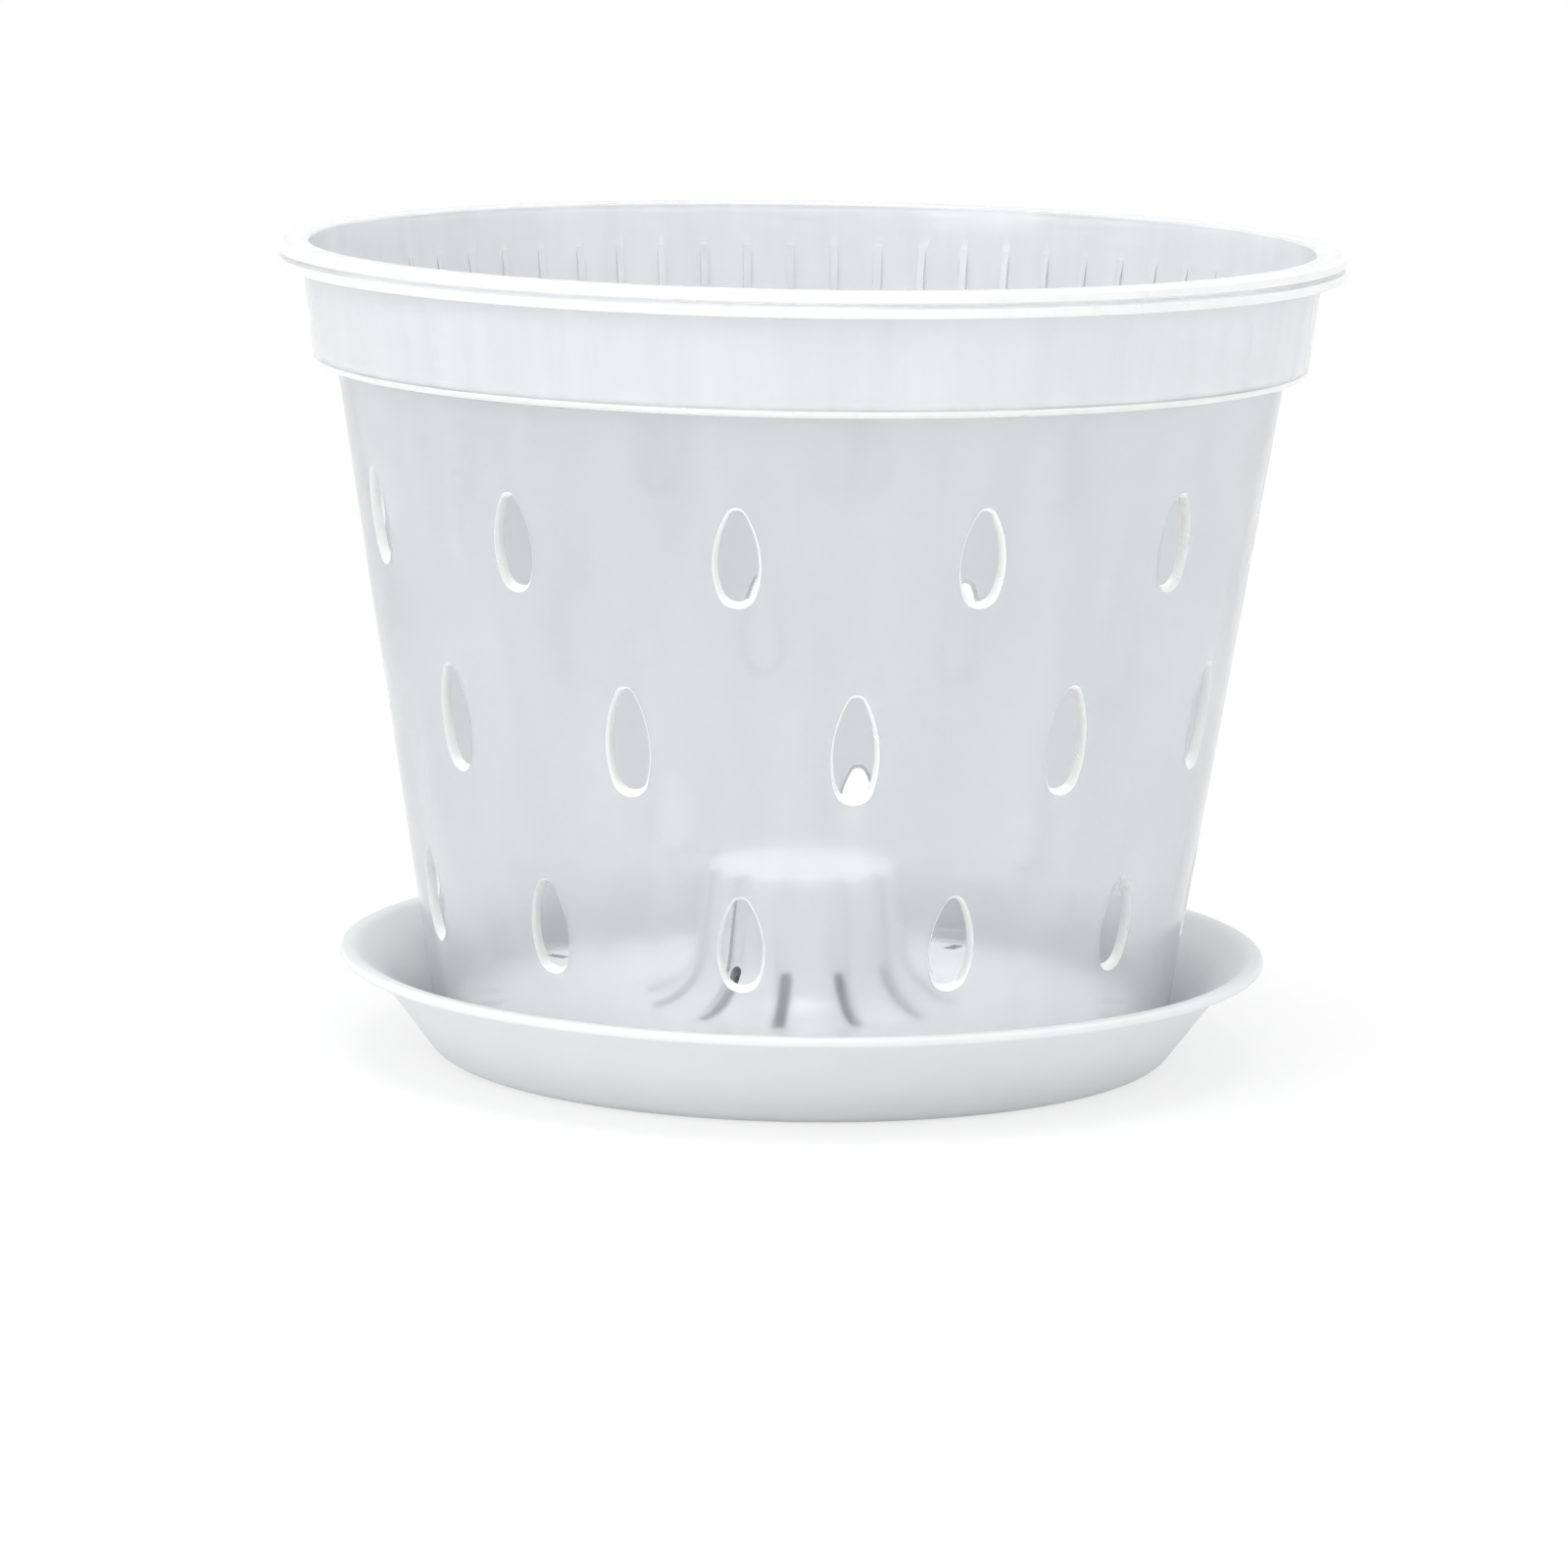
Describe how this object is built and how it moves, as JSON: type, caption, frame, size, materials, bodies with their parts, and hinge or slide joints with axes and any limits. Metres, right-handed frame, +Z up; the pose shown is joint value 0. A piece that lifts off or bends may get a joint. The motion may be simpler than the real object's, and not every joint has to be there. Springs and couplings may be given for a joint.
{
  "type": "orchid pot with slots",
  "caption": "Clear round orchid pot with staggered teardrop slots through its tapered wall, a stacking collar, and a fluted air cone in its floor, standing in a flared white saucer.",
  "frame": {"origin": "on the axis of pot and saucer, at the surface that the saucer stands on", "axes": "+Z up along the axis, -Y towards the front of the picture, +X to its right"},
  "size_m": [0.15, 0.15, 0.1154],
  "materials": {
    "clear_plastic": "clear injection-moulded plastic, glossy, with a very slight cool tint",
    "white_plastic": "white injection-moulded plastic, satin gloss"
  },
  "bodies": {
    "saucer": {"saucer": "white_plastic"},
    "pot": {"pot": "clear_plastic"}
  },
  "joints": [
    {"name": "pot_lift", "type": "slide", "parent": "saucer", "child": "pot", "axis": [0, 0, 1], "range_m": [0, 0.04]}
  ]
}
